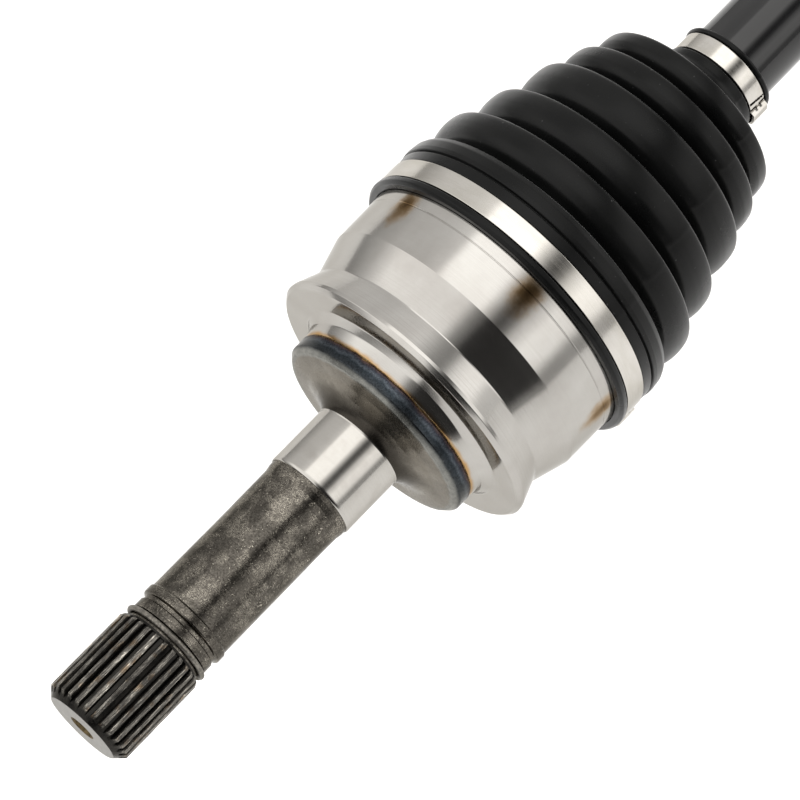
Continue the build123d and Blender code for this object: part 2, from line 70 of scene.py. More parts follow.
def rounded(corners, steps=5):
    """An outline from (x, r) points; a corner given as (x, r, radius) becomes an arc."""
    points = [np.array(corner[:2], float) for corner in corners]
    outline = []
    for index, corner in enumerate(corners):
        here = points[index]
        if len(corner) == 2 or index in (0, len(corners) - 1):
            outline.append(here)
            continue
        back, ahead = points[index - 1] - here, points[index + 1] - here
        back_length, ahead_length = np.linalg.norm(back), np.linalg.norm(ahead)
        back, ahead = back / back_length, ahead / ahead_length
        half = math.acos(np.clip(back @ ahead, -1, 1)) / 2
        reach = min(corner[2] / math.tan(half), ROUND_SHARE * back_length, ROUND_SHARE * ahead_length)
        middle = (back + ahead) / np.linalg.norm(back + ahead)
        centre = here + middle * reach / math.cos(half)
        first, last = here + back * reach - centre, here + ahead * reach - centre
        sweep = math.pi - 2 * half
        for step in range(steps + 1):
            angle = sweep * step / steps
            spoke = first * math.sin(sweep - angle) + last * math.sin(angle)
            outline.append(centre + spoke / math.sin(sweep))
    return np.array(outline)


def flowing(points, steps=6):
    """A smooth outline through all points."""
    points = np.array(points, float)
    ends = np.vstack([2 * points[0] - points[1], points, 2 * points[-1] - points[-2]])
    outline = [points[0]]
    for a, b, c, d in zip(ends, ends[1:], ends[2:], ends[3:]):
        for step in range(1, steps + 1):
            t = step / steps
            outline.append(
                b + 0.5 * t * (c - a)
                + t ** 2 * (a - 2.5 * b + 2 * c - 0.5 * d)
                + t ** 3 * (1.5 * b - 0.5 * a - 1.5 * c + 0.5 * d)
            )
    return np.array(outline)


def dense(outline, step):
    """The same outline with no span longer than step."""
    points = [outline[0]]
    for start, end in zip(outline, outline[1:]):
        count = max(1, math.ceil(np.linalg.norm(end - start) / step))
        points += [start + (end - start) * k / count for k in range(1, count + 1)]
    return np.array(points)


def even(count):
    """Angles around the axle, from +Y towards +Z."""
    return np.arange(count) * TURN / count


def crowded(count, middle, spread, extra):
    """Even angles, with more of them within spread of a middle angle."""
    near = middle + np.linspace(-spread, spread, extra)
    away = np.abs((even(count) - middle + math.pi) % TURN - math.pi) > spread * 1.02
    return np.sort(np.concatenate([even(count)[away], near % TURN]))


# Of a tooth's pitch, from its middle: where its flat top ends and where its groove starts
TOP_EDGE, GROOVE_EDGE = 0.21, 0.32


def toothed(count):
    """Angles that put points on every edge of a spline's teeth."""
    half = (0.1, 0.195, TOP_EDGE, 0.265, GROOVE_EDGE, 0.335, 0.41)
    spots = (-0.5, *(-spot for spot in reversed(half)), 0, *half)
    return np.array([(tooth + spot) * TURN / count for tooth in range(count) for spot in spots])


def tooth_height(angle, count):
    """1 on the flat top of a spline's teeth, 0 in its grooves, and a slope between."""
    share = (angle * count / TURN + 0.5) % 1 - 0.5
    return np.clip((GROOVE_EDGE - np.abs(share)) / (GROOVE_EDGE - TOP_EDGE), 0, 1)


def ripples(angle, x, seed, waves=9, rate=0.15):
    """Uneven but repeatable waves around and along a piece, from about -1 to 1."""
    dice = np.random.default_rng(seed)
    total = 0
    for _ in range(waves):
        around = dice.integers(1, 12)
        total = total + np.sin(around * angle + dice.normal() * rate * x + dice.uniform(0, TURN))
    return total / math.sqrt(waves) / 1.4


# ---------------------------------------------------------------- meshes

def mesh_object(name, vertices, faces, materials, picks=None, crease=35):
    """A smooth-shaded mesh whose edges stay sharp where faces meet at more than crease degrees."""
    mesh = bpy.data.meshes.new(name)
    mesh.from_pydata(vertices, [], faces)
    for material in materials:
        mesh.materials.append(material)
    if picks is not None:
        mesh.polygons.foreach_set("material_index", picks)
    mesh.shade_smooth()
    mesh.set_sharp_from_angle(angle=math.radians(crease))
    mesh.validate()
    piece = bpy.data.objects.new(name, mesh)
    bpy.context.scene.collection.objects.link(piece)
    return piece


def lathe(name, outline, materials, origin, angles=None, shape=None, pick=None, loop=False, crease=35):
    """A turned piece. shape(x, r, angle) bends it, pick(x, r) numbers the material of each span.

    The outline runs towards +X along the outside, so that its faces look outward.
    """
    angles = even(256) if angles is None else angles
    around = len(angles)
    x = np.repeat(outline[:, :1], around, axis=1)
    r = np.repeat(outline[:, 1:2], around, axis=1)
    if shape:
        x, r = shape(x, r, angles[None, :])
    ring_points = np.stack([x + origin, r * np.cos(angles), r * np.sin(angles)], axis=2) * MM
    vertices, starts = [], []
    for ring, (_, radius) in zip(ring_points, outline):
        starts.append(len(vertices))
        vertices.extend(ring[:1] if radius == 0 else ring)
    spans = list(zip(range(len(outline)), range(1, len(outline))))
    if loop:
        spans.append((len(outline) - 1, 0))
    faces, picks = [], []
    for low, high in spans:
        for k in range(around):
            after = (k + 1) % around
            a, b = starts[low] + k, starts[low] + after
            c, d = starts[high] + after, starts[high] + k
            if outline[low, 1] == 0:
                faces.append((starts[low], c, d))
            elif outline[high, 1] == 0:
                faces.append((a, b, starts[high]))
            else:
                faces.append((a, b, c, d))
        if pick:
            middle = (outline[low] + outline[high]) / 2
            picks += [pick(*middle)] * around
    return mesh_object(name, vertices, faces, materials, picks if pick else None, crease)


def show(piece, body, slot, *nodes):
    """The piece rides on a body and stands for CAD nodes, which it hides; slot is not used."""
    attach(piece, body)
    if nodes:
        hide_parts(*nodes)
    return piece


# ---------------------------------------------------------------- materials

COLOUR_A, COLOUR_B, COLOUR_OUT = 6, 7, 2  # a Mix node's sockets for colours
STEEL_EDGE = (0.62, 0.61, 0.59, 1)  # the tint of steel's mirror at a glancing angle


class Nodes:
    """Short calls that add nodes to a tree and wire them up."""

    def __init__(self, tree):
        self.tree = tree

    def feed(self, socket, value):
        if isinstance(value, bpy.types.NodeSocket):
            self.tree.links.new(value, socket)
        elif isinstance(value, tuple) and len(value) == 3 and socket.type == "RGBA":
            socket.default_value = (*value, 1)
        else:
            socket.default_value = value

    def add(self, kind, inputs, **settings):
        node = self.tree.nodes.new("ShaderNode" + kind)
        for setting, value in settings.items():
            setattr(node, setting, value)
        for socket, value in inputs.items():
            self.feed(node.inputs[socket], value)
        return node

    def math(self, operation, a, b=0.0, c=0.0):
        return self.add("Math", {0: a, 1: b, 2: c}, operation=operation).outputs[0]

    def ramp(self, value, *stops):
        node = self.add("ValToRGB", {0: value})
        elements = node.color_ramp.elements
        while len(elements) < len(stops):
            elements.new(0.5)
        for element, (position, colour) in zip(elements, stops):
            element.position = position
            grey = not isinstance(colour, tuple)
            element.color = (colour, colour, colour, 1) if grey else (*colour, 1)
        return node.outputs[0]

    def mix(self, share, a, b, blend="MIX"):
        node = self.add("Mix", {0: share}, data_type="RGBA", blend_type=blend)
        self.feed(node.inputs[COLOUR_A], a)
        self.feed(node.inputs[COLOUR_B], b)
        return node.outputs[COLOUR_OUT]


class Paint(Nodes):
    """A material made by short calls. Sizes are in mm, and textures stay with the piece."""

    def __init__(self, name, metallic=0.0, roughness=0.4):
        self.material = bpy.data.materials.new(name)
        self.material.use_nodes = True
        super().__init__(self.material.node_tree)
        self.shader = self.tree.nodes["Principled BSDF"]
        self.shader.inputs["Metallic"].default_value = metallic
        self.shader.inputs["Roughness"].default_value = roughness
        if metallic:
            self.shader.inputs["Specular Tint"].default_value = STEEL_EDGE
        self.place = self.tree.nodes.new("ShaderNodeTexCoord").outputs["Object"]
        parts = self.add("SeparateXYZ", {0: self.place})
        self.x, self.y, self.z = parts.outputs

    def along(self, origin):
        """Distance in mm along the axle from an origin."""
        return self.math("MULTIPLY_ADD", self.x, 1 / MM, -origin)

    def turn(self):
        """The angle around the axle, in radians."""
        return self.math("ARCTAN2", self.z, self.y)

    def noise(self, size, detail=3.0, rough=0.5, stretch=(1, 1, 1), distortion=0.0, where=None):
        scale = tuple(s / (size * MM) for s in stretch)
        point = self.add("Mapping", {"Vector": where or self.place, "Scale": scale}).outputs[0]
        inputs = {"Vector": point, "Scale": 1.0, "Detail": detail, "Roughness": rough, "Distortion": distortion}
        return self.add("TexNoise", inputs).outputs[0]

    def length(self, a, b):
        return self.math("SQRT", self.math("ADD", self.math("POWER", a, 2.0), self.math("POWER", b, 2.0)))

    def radius(self):
        """Distance in metres from the axle's middle line."""
        return self.length(self.y, self.z)

    def rings(self, size):
        """Fine turning marks: noise that changes along the outline and hardly around the axle."""
        run = self.math("ADD", self.x, self.radius())
        drift = self.math("MULTIPLY", self.turn(), 0.06 * size * MM)
        point = self.add("CombineXYZ", {0: run, 1: drift, 2: 0.0}).outputs[0]
        return self.noise(size, 2.0, 0.6, where=point)

    def between(self, value, low, high, out_low=0.0, out_high=1.0):
        inputs = {"Value": value, "From Min": low, "From Max": high, "To Min": out_low, "To Max": out_high}
        return self.add("MapRange", inputs, interpolation_type="SMOOTHSTEP").outputs[0]

    def colour(self, value):
        self.feed(self.shader.inputs["Base Color"], value)

    def rough(self, value):
        self.feed(self.shader.inputs["Roughness"], value)

    def bump(self, *layers):
        """Relief from (height, depth in mm) layers."""
        normal = None
        for height, depth in layers:
            inputs = {"Height": height, "Distance": depth * MM, "Strength": 1.0}
            node = self.add("Bump", inputs)
            if normal:
                self.feed(node.inputs["Normal"], normal)
            normal = node.outputs[0]
        self.feed(self.shader.inputs["Normal"], normal)


def spline_steel():
    """Phosphated teeth, with tops rubbed bright and warm glints."""
    paint = Paint("spline_steel", metallic=0.9)
    radius = paint.radius()
    height = paint.between(radius, 13.7 * MM, 14.9 * MM)
    patches = paint.noise(1.6, 5, 0.7, stretch=(0.4, 1, 1))
    streaks = paint.noise(0.5, 6, 0.8, stretch=(0.1, 1, 1), distortion=0.6)
    dark = paint.ramp(patches, (0.3, (0.008, 0.008, 0.008)), (0.7, (0.03, 0.028, 0.025)))
    worn = paint.ramp(
        streaks, (0.34, (0.03, 0.028, 0.026)), (0.48, (0.075, 0.07, 0.064)), (0.57, (0.19, 0.18, 0.16)),
        (0.68, (0.75, 0.7, 0.62)),
    )
    warm = paint.ramp(paint.noise(4, 2), (0.55, (1, 1, 1)), (0.7, (1.0, 0.8, 0.62)))
    paint.colour(paint.mix(height, dark, paint.mix(1.0, worn, warm, "MULTIPLY")))
    paint.rough(paint.between(patches, 0.3, 0.7, 0.16, 0.36))
    paint.bump((streaks, 0.02), (patches, 0.04))
    return paint.material


def forged_steel():
    """The shank: dark forging skin, mottled and crazed with light speckles."""
    paint = Paint("forged_steel", metallic=1.0)
    blotch = paint.noise(6, 4, 0.6)
    grain = paint.noise(0.95, 4, 0.65, distortion=1.5)
    colour = paint.ramp(
        blotch, (0.3, (0.068, 0.063, 0.055)), (0.5, (0.085, 0.078, 0.068)), (0.72, (0.105, 0.096, 0.084)),
    )
    mottle = paint.ramp(paint.noise(0.55, 3, 0.7), (0.34, (0.45, 0.44, 0.43)), (0.66, (1.5, 1.5, 1.5)))
    colour = paint.mix(1.0, colour, mottle, "MULTIPLY")
    ridge = paint.math("ABSOLUTE", paint.math("SUBTRACT", grain, 0.5))
    craze = paint.math("MULTIPLY", paint.between(ridge, 0.004, 0.018, 1.0, 0.0), paint.between(blotch, 0.44, 0.58))
    speck = paint.ramp(grain, (0.63, 0.0), (0.67, 0.85))
    colour = paint.mix(paint.math("MAXIMUM", craze, speck), colour, (0.55, 0.51, 0.43))
    lines = paint.rings(0.35)
    colour = paint.mix(paint.between(lines, 0.4, 0.75, 0.0, 0.4), colour, (0.015, 0.014, 0.012))
    paint.colour(colour)
    paint.rough(paint.between(grain, 0.3, 0.7, 0.16, 0.28))
    paint.bump((lines, 0.006), (grain, 0.016))
    return paint.material


def satin_face():
    """The stub's turned end face."""
    paint = Paint("satin_face", metallic=0.85, roughness=0.45)
    mottle = paint.noise(1.5, 4, 0.6)
    paint.colour(paint.ramp(mottle, (0.3, (0.3, 0.295, 0.285)), (0.7, (0.37, 0.365, 0.355))))
    paint.bump((paint.noise(0.35, 3), 0.02))
    return paint.material


def centre_hole_steel():
    """The rusty brown centre hole."""
    paint = Paint("centre_hole_steel", metallic=0.6, roughness=0.5)
    paint.colour(paint.ramp(paint.noise(1.2, 4), (0.35, (0.05, 0.035, 0.015)), (0.65, (0.17, 0.125, 0.06))))
    return paint.material


def ground_steel():
    """The ground journal: bright, with fine marks around it."""
    paint = Paint("ground_steel", metallic=1.0, roughness=0.2)
    lines = paint.rings(0.12)
    haze = paint.noise(5, 3)
    colour = paint.ramp(lines, (0.3, (0.4, 0.385, 0.36)), (0.7, (0.46, 0.445, 0.42)))
    paint.colour(paint.mix(paint.between(haze, 0.45, 0.75, 0, 0.35), colour, (0.34, 0.32, 0.295)))
    paint.rough(paint.between(lines, 0.3, 0.7, 0.09, 0.17))
    paint.bump((lines, 0.002))
    return paint.material


# Places along the inner end, for colours: the disc's face, its heat band, the weld, the hardening spots
FACE_EDGE, HEAT_BAND, WELD_LINE, SPOTS_AT = (121.3, 122.4), (121.5, 127.6), (127.2, 128.6), 169.8
SPOT_CIRCLE, SPOT_SQUEEZE = 47.0, 1.1


def disc_steel():
    """The forged disc: grey-brown with painted shade darkening it by the fillet, and a straw and blue band of heat
    by the weld.
    """
    paint = Paint("disc_steel", metallic=0.9)
    x = paint.along(TIP)
    radius = paint.radius()
    blotch = paint.noise(9, 4, 0.6)
    grain = paint.noise(0.8, 5, 0.65)
    inner = paint.ramp(
        blotch, (0.3, (0.11, 0.099, 0.083)), (0.55, (0.165, 0.15, 0.127)), (0.75, (0.22, 0.203, 0.175)),
    )
    # Painted shade: the face turns dark towards the fillet, the corner by the journal, along a wobbly edge.
    fillet = paint.math("MULTIPLY_ADD", blotch, 5 * MM, radius)
    inner = paint.mix(paint.between(fillet, 18 * MM, 27 * MM), (0.035, 0.031, 0.026), inner)
    outer = paint.ramp(paint.noise(2.5, 4), (0.3, (0.14, 0.142, 0.135)), (0.7, (0.22, 0.22, 0.205)))
    rim_edge = paint.math("MULTIPLY_ADD", paint.noise(3, 3), 0.0016, radius)
    face = paint.mix(paint.between(rim_edge, 31.0 * MM, 31.9 * MM), inner, outer)
    wobble = paint.math("MULTIPLY_ADD", paint.noise(4, 4), 2.2, paint.math("SUBTRACT", x, 1.1))
    shade = paint.add("MapRange", {"Value": wobble, "From Min": HEAT_BAND[0], "From Max": HEAT_BAND[1]}).outputs[0]
    heat = paint.ramp(
        shade,
        (0.0, (0.1, 0.103, 0.1)),
        (0.14, (0.03, 0.034, 0.038)),
        (0.42, (0.022, 0.028, 0.034)),
        (0.56, (0.06, 0.07, 0.082)),
        (0.7, (0.03, 0.032, 0.042)),
        (0.84, (0.07, 0.045, 0.04)),
        (0.93, (0.4, 0.25, 0.1)),
        (1.0, (0.33, 0.29, 0.22)),
    )
    dirt = paint.ramp(paint.noise(0.6, 5, 0.8), (0.35, (0.4, 0.4, 0.4)), (0.62, (1.3, 1.3, 1.3)))
    heat = paint.mix(1.0, heat, dirt, "MULTIPLY")
    paint.colour(paint.mix(paint.between(x, *FACE_EDGE), face, heat))
    paint.rough(paint.between(grain, 0.3, 0.7, 0.2, 0.3))
    paint.bump((paint.rings(0.5), 0.004), (grain, 0.02))
    return paint.material


def cup_steel():
    """The turned cup: satin, with a straw edge at the weld and brown spots where each track was hardened."""
    paint = Paint("cup_steel", metallic=1.0)
    x = paint.along(TIP)
    lines = paint.rings(0.22)
    haze = paint.noise(14, 4, 0.55)
    base = paint.ramp(haze, (0.3, (0.385, 0.37, 0.35)), (0.7, (0.45, 0.44, 0.42)))
    base = paint.mix(paint.between(lines, 0.35, 0.8, 0, 0.3), base, (0.33, 0.31, 0.285))
    sixth = paint.math("PINGPONG", paint.math("MULTIPLY", paint.turn(), 3 / math.pi), 0.5)
    across = paint.math("MULTIPLY", sixth, math.pi / 3 * SPOT_CIRCLE)
    across = paint.math("MULTIPLY", across, SPOT_SQUEEZE)
    ahead = paint.math("SUBTRACT", x, SPOTS_AT)
    ahead = paint.math("MULTIPLY", ahead, paint.between(ahead, -1.0, 1.0, 0.55, 1.0))
    distance = paint.length(across, ahead)
    patch = paint.noise(3.2, 4, 0.6)
    distance = paint.math("MULTIPLY_ADD", patch, 4.0, paint.math("SUBTRACT", distance, 2.0))
    spot = paint.ramp(
        paint.math("DIVIDE", distance, 10.0),
        (0.0, (0.1, 0.06, 0.028)),
        (0.18, (0.17, 0.11, 0.055)),
        (0.38, (0.33, 0.25, 0.17)),
        (0.7, (0.43, 0.4, 0.36)),
    )
    base = paint.mix(paint.between(distance, 2.5, 7.0), spot, base)
    weld = paint.math("MULTIPLY_ADD", paint.noise(5, 3), 1.6, paint.math("SUBTRACT", x, 0.8))
    base = paint.mix(paint.between(weld, *WELD_LINE), (0.36, 0.22, 0.09), base)
    paint.colour(base)
    paint.rough(paint.between(lines, 0.3, 0.7, 0.1, 0.18))
    paint.bump((lines, 0.0014), (paint.noise(25, 2), 0.02))
    return paint.material


def clamp_steel():
    """Bright rolled stainless band, with faint marks along it."""
    paint = Paint("clamp_steel", metallic=1.0)
    around = paint.math("MULTIPLY", paint.turn(), 0.016)
    strip = paint.add("CombineXYZ", {0: paint.x, 1: around, 2: 0.0}).outputs[0]
    marks = paint.noise(0.3, 3, 0.6, stretch=(1, 0.04, 1), where=strip)
    stain = paint.noise(6, 4, 0.6, where=strip)
    colour = paint.ramp(stain, (0.35, (0.5, 0.48, 0.44)), (0.65, (0.57, 0.55, 0.52)))
    paint.colour(paint.mix(paint.between(marks, 0.5, 0.8, 0, 0.3), colour, (0.4, 0.375, 0.34)))
    paint.rough(paint.between(marks, 0.3, 0.7, 0.1, 0.18))
    paint.bump((marks, 0.004))
    return paint.material


def slot_dark():
    """The shadowed inside of the clamps' slots."""
    paint = Paint("slot_dark", metallic=0.3, roughness=0.6)
    paint.colour(paint.ramp(paint.noise(0.8, 3), (0.3, (0.004, 0.004, 0.004)), (0.7, (0.02, 0.018, 0.016))))
    return paint.material


def wire_steel():
    """Dark spring wire and snap rings."""
    paint = Paint("wire_steel", metallic=0.85)
    mottle = paint.noise(0.9, 5, 0.65)
    paint.colour(paint.ramp(mottle, (0.35, (0.07, 0.066, 0.06)), (0.7, (0.3, 0.28, 0.245))))
    paint.rough(paint.between(mottle, 0.3, 0.7, 0.3, 0.5))
    paint.bump((mottle, 0.03))
    return paint.material


def boot_rubber():
    """Matte black moulded rubber, a little dusty."""
    paint = Paint("boot_rubber")
    cloud = paint.noise(16, 4, 0.55)
    grain = paint.noise(0.35, 3, 0.6)
    base = paint.ramp(cloud, (0.3, (0.0022, 0.0024, 0.0024)), (0.7, (0.0045, 0.0046, 0.0046)))
    dust = paint.ramp(paint.noise(1.1, 2, 0.5), (0.735, 0.0), (0.78, 1.0))
    paint.colour(paint.mix(paint.math("MULTIPLY", dust, 0.35), base, (0.12, 0.12, 0.12)))
    paint.rough(paint.between(cloud, 0.3, 0.7, 0.26, 0.36))
    paint.shader.inputs["Specular IOR Level"].default_value = 0.14
    paint.shader.inputs["Sheen Weight"].default_value = 0.15
    paint.shader.inputs["Sheen Roughness"].default_value = 0.3
    paint.bump((grain, 0.01), (cloud, 0.1))
    return paint.material


def bar_paint():
    """Smooth gloss black paint."""
    paint = Paint("bar_paint", roughness=0.22)
    orange_peel = paint.noise(1.6, 2, 0.4)
    cloud = paint.noise(12, 3)
    paint.colour(paint.ramp(cloud, (0.3, (0.005, 0.005, 0.0055)), (0.7, (0.009, 0.009, 0.0095))))
    paint.rough(paint.between(cloud, 0.3, 0.7, 0.05, 0.1))
    paint.bump((orange_peel, 0.002))
    return paint.material


def race_steel():
    """Ground bearing steel with a film of grease."""
    paint = Paint("race_steel", metallic=1.0)
    haze = paint.noise(5, 4)
    paint.colour(paint.ramp(haze, (0.3, (0.33, 0.315, 0.29)), (0.7, (0.45, 0.435, 0.41))))
    paint.rough(paint.between(haze, 0.3, 0.7, 0.22, 0.34))
    paint.bump((paint.rings(0.3), 0.004))
    return paint.material


def ball_steel():
    """Polished balls, with a few scuffs."""
    paint = Paint("ball_steel", metallic=1.0)
    scuffs = paint.noise(1.2, 5, 0.7)
    paint.colour(paint.ramp(scuffs, (0.4, (0.68, 0.68, 0.69)), (0.75, (0.55, 0.54, 0.53))))
    paint.rough(paint.between(scuffs, 0.4, 0.8, 0.07, 0.2))
    return paint.material


SPLINE, FORGED, FACE, HOLE = spline_steel(), forged_steel(), satin_face(), centre_hole_steel()
GROUND, DISC, CUP = ground_steel(), disc_steel(), cup_steel()
CLAMP, SLOT, WIRE, RUBBER, BLACK = clamp_steel(), slot_dark(), wire_steel(), boot_rubber(), bar_paint()
RACE, BALL = race_steel(), ball_steel()


# ---------------------------------------------------------------- inner stub

STUB_TEETH = 28
SPLINE_START, SPLINE_END = 0.2, 31.7
SPLINE_TOP, SPLINE_ROOT, SPLINE_CORE = 14.95, 13.35, 12.2
SHANK_START, SHANK_END, SHANK_FADE = 44, 90, 3
DISC_START = 110
HOLLOW_R, HOLLOW_RIM_R, HOLLOW_FADE, HOLLOW_RIM_FADE = 15.2, 31.2, 3, 7
HOLE_DEPTH, HOLE_R = 9.95, 4.35
SKIN_ENDS = (0.3, 33, 94, 114.85)  # where the end face, spline, shank and journal stop
TOOTH_WEAR, SHANK_UNEVEN, HOLLOW_UNEVEN = 0.035, 0.06, 0.3  # how far the ripples move each surface


def stub_shape(x, r, angle):
    """Teeth cut into the spline, and the uneven forging of the disc's hollow."""
    cut = SPLINE_ROOT + (SPLINE_TOP - SPLINE_ROOT) * tooth_height(angle, STUB_TEETH)
    cut = cut - TOOTH_WEAR * (1 + ripples(angle * 3, x, 4, rate=0.5))
    spline = (x > SPLINE_START) & (x < SPLINE_END + 0.01) & (r > SPLINE_CORE)
    r = np.where(spline, np.minimum(r, cut), r)
    shank = np.clip((x - SHANK_START) / SHANK_FADE, 0, 1) * np.clip((SHANK_END - x) / SHANK_FADE, 0, 1)
    r = r - SHANK_UNEVEN * shank * (1 + ripples(angle, x, 7))
    hollow = np.clip((r - HOLLOW_R) / HOLLOW_FADE, 0, 1) * (x > DISC_START)
    hollow = hollow * np.clip((HOLLOW_RIM_R - r) / HOLLOW_RIM_FADE, 0, 1)
    return x - HOLLOW_UNEVEN * hollow * ripples(angle, 0 * x, 11, waves=3), r


def stub_pick(x, r):
    """The stub's materials, in the order of the list given to lathe."""
    if x < HOLE_DEPTH and r < HOLE_R:
        return 0
    return 1 + bisect(SKIN_ENDS, x)


stub_outline = rounded([
    (9.9, 0), (9.0, 1.6), (4.7, 1.6), (0.35, 4.1), (0, 4.45, 0.2), (0, 12.1, 0.25), (2.85, SPLINE_TOP, 0.4),
    (30.6, SPLINE_TOP, 0.5), (SPLINE_END, 14.35, 0.3), (SPLINE_END + 0.1, 13.05), (35.2, 13.05, 0.2),
    (35.4, 13.85, 0.3), (38.4, 13.85, 0.3), (38.7, 13.45, 0.2), (39.9, 13.45, 0.3), (40.4, 14.6, 0.5),
    (43.0, 14.6, 0.4),
    (43.5, 14.12, 0.3), (90.6, 14.15, 1.2), (92.5, 14.48, 0.8), (93.9, 14.48), (94.05, 14.75), (94.5, 15.0),
    (114.6, 15.0, 0.3), (115.0, 15.1), (116.1, 15.75), (117.5, 17.4), (118.9, 20.0, 4.0), (120.3, 24.6, 8.0),
    (120.9, 31.7, 0.5), (122.4, 33.3, 0.7), (126.6, 33.3, 0.4), (127.2, 32.9), (127.4, 32.9), (127.4, 0),
])
inner_stub = lathe(
    "inner_stub", dense(stub_outline, 0.9), [HOLE, FACE, SPLINE, FORGED, GROUND, DISC], TIP,
    angles=toothed(STUB_TEETH), shape=stub_shape, pick=stub_pick,
)
show(inner_stub, "inner_housing", "stub_steel", "inner_stub_shaft")


def wire_ring(name, x, radius, wire, gap_angle, gap, material):
    """A round wire bent into a ring with a gap."""
    turns = np.linspace(gap_angle + gap / 2, gap_angle + TURN - gap / 2, 140)
    sides = even(16)
    vertices = []
    for turn in turns:
        for side in sides:
            r = radius + wire * math.cos(side)
            vertices.append(Vector((x + wire * math.sin(side), r * math.cos(turn), r * math.sin(turn))) * MM)
    count = len(sides)
    faces = [
        (i * count + k, i * count + (k + 1) % count, (i + 1) * count + (k + 1) % count, (i + 1) * count + k)
        for i in range(len(turns) - 1) for k in range(count)
    ]
    faces.append(tuple(reversed(range(count))))
    faces.append(tuple(range((len(turns) - 1) * count, len(turns) * count)))
    return mesh_object(name, vertices, faces, [material])


stub_wire = wire_ring("stub_wire_ring", TIP + 34.15, 13.95, 0.88, math.radians(212), 0.22, WIRE)
show(stub_wire, "inner_housing", "spring_steel", "stub_retaining_ring")


# ---------------------------------------------------------------- inner cup

BALL_CIRCLE, TRACK_R, TRACK_SLACK, BORE_R = 31.0, 9.6, 0.55, 35.1
BORE_START, BORE_END, INSIDE_R = 142.0, 193.6, 37.5


def cup_shape(x, r, angle):
    """Ball tracks inside the bore."""
    away = (angle * 3 / math.pi + 0.5) % 1 - 0.5
    away = away * math.pi / 3
    reach = BALL_CIRCLE * np.cos(away) + TRACK_SLACK * np.abs(np.sin(away))
    left = reach ** 2 - (BALL_CIRCLE ** 2 + TRACK_SLACK ** 2 - TRACK_R ** 2)
    track = np.where(left > 0, reach + np.sqrt(np.maximum(left, 0)), 0)
    inside = (r > BORE_R - 0.5) & (r < INSIDE_R) & (x > BORE_START) & (x < BORE_END)
    return x, np.where(inside, np.maximum(r, track), r)


cup_outline = rounded([
    (127.4, 0), (127.4, 32.9), (127.75, 33.2), (131.0, 34.1, 1.2), (133.0, 36.6, 1.6),
    (133.0, 45.3, 0.3), (134.3, 46.6, 0.3), (135.4, 46.55, 0.4),
    (143.7, 43.5, 1.1), (155.7, 47.0, 0.5), (169.3, 47.18), (169.45, 47.02), (169.65, 47.02), (169.8, 47.2),
    (173.6, 47.4, 0.3), (175.7, 46.2, 0.3), (184.6, 46.2, 0.3), (186.2, 46.4, 0.3), (187.4, 46.4, 0.5),
    (192.5, 43.0, 0.5), (193.4, 43.0, 0.3), (193.4, 36.4, 0.2), (192.4, BORE_R), (191.0, BORE_R), (190.9, 37.0),
    (188.9, 37.0), (188.8, BORE_R), (142.1, BORE_R), (142.0, BORE_R), (134.0, BORE_R, 1.0), (134.0, 0),
], steps=9)
inner_cup = lathe("inner_cup", dense(cup_outline, 2.5), [CUP], TIP, angles=even(384), shape=cup_shape)
show(inner_cup, "inner_housing", "cup_steel", "inner_joint_cup")


# ---------------------------------------------------------------- bar

# Distances in from the joint centres, and radii
NECK_START, NECK_END, TAPER_END = 20.0, 60.0, 72.0
BAR_R, NECK_R, TOOTH_R, GROOVE_R, SHOULDER_R, CLAMP_SEAT_R = 14.0, 12.0, 12.7, 11.2, 13.4, 12.6
BAR_TEETH, BAR_SPLINE_ROOT, BAR_TOOTH = 26, 11.6, 1.1
HALF_SPAN = (OUTER - JOINTS["inner_swing"]["pos_m"][0] / MM) / 2
HALF_RACE = 12.0


def bar_shape(x, r, angle):
    """Splines at the bar's two ends, where the races sit."""
    cut = BAR_SPLINE_ROOT + BAR_TOOTH * tooth_height(angle, BAR_TEETH)
    end = (np.abs(x) > HALF_SPAN - NECK_START) & (r > GROOVE_R + 0.05)
    spline = end & ((x < 0) | (x > HALF_SPAN - HALF_RACE))
    return x, np.where(spline, np.minimum(r, cut), r)


inner_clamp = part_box("inner_boot_small_clamp")
inner_seat = (inner_clamp[0].x / MM - 1.2, inner_clamp[1].x / MM + 0.5)
outer_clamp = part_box("outer_boot_small_clamp")
outer_seat = (outer_clamp[0].x / MM - 0.5, outer_clamp[1].x / MM + 1.2)
ring_groove = [(HALF_RACE, GROOVE_R), (HALF_RACE + 1.8, GROOVE_R), (HALF_RACE + 1.85, TOOTH_R)]
bar_end = [*ring_groove, (HALF_RACE + 2.5, TOOTH_R), (HALF_RACE + 4, GROOVE_R), (HALF_RACE + 4, 0)]


def clamp_seat(start, end):
    """The shallow groove under a small clamp."""
    return [
        (start, BAR_R, 0.4), (start + 0.5, CLAMP_SEAT_R, 0.3), (end - 0.5, CLAMP_SEAT_R, 0.3), (end, BAR_R, 0.4),
    ]


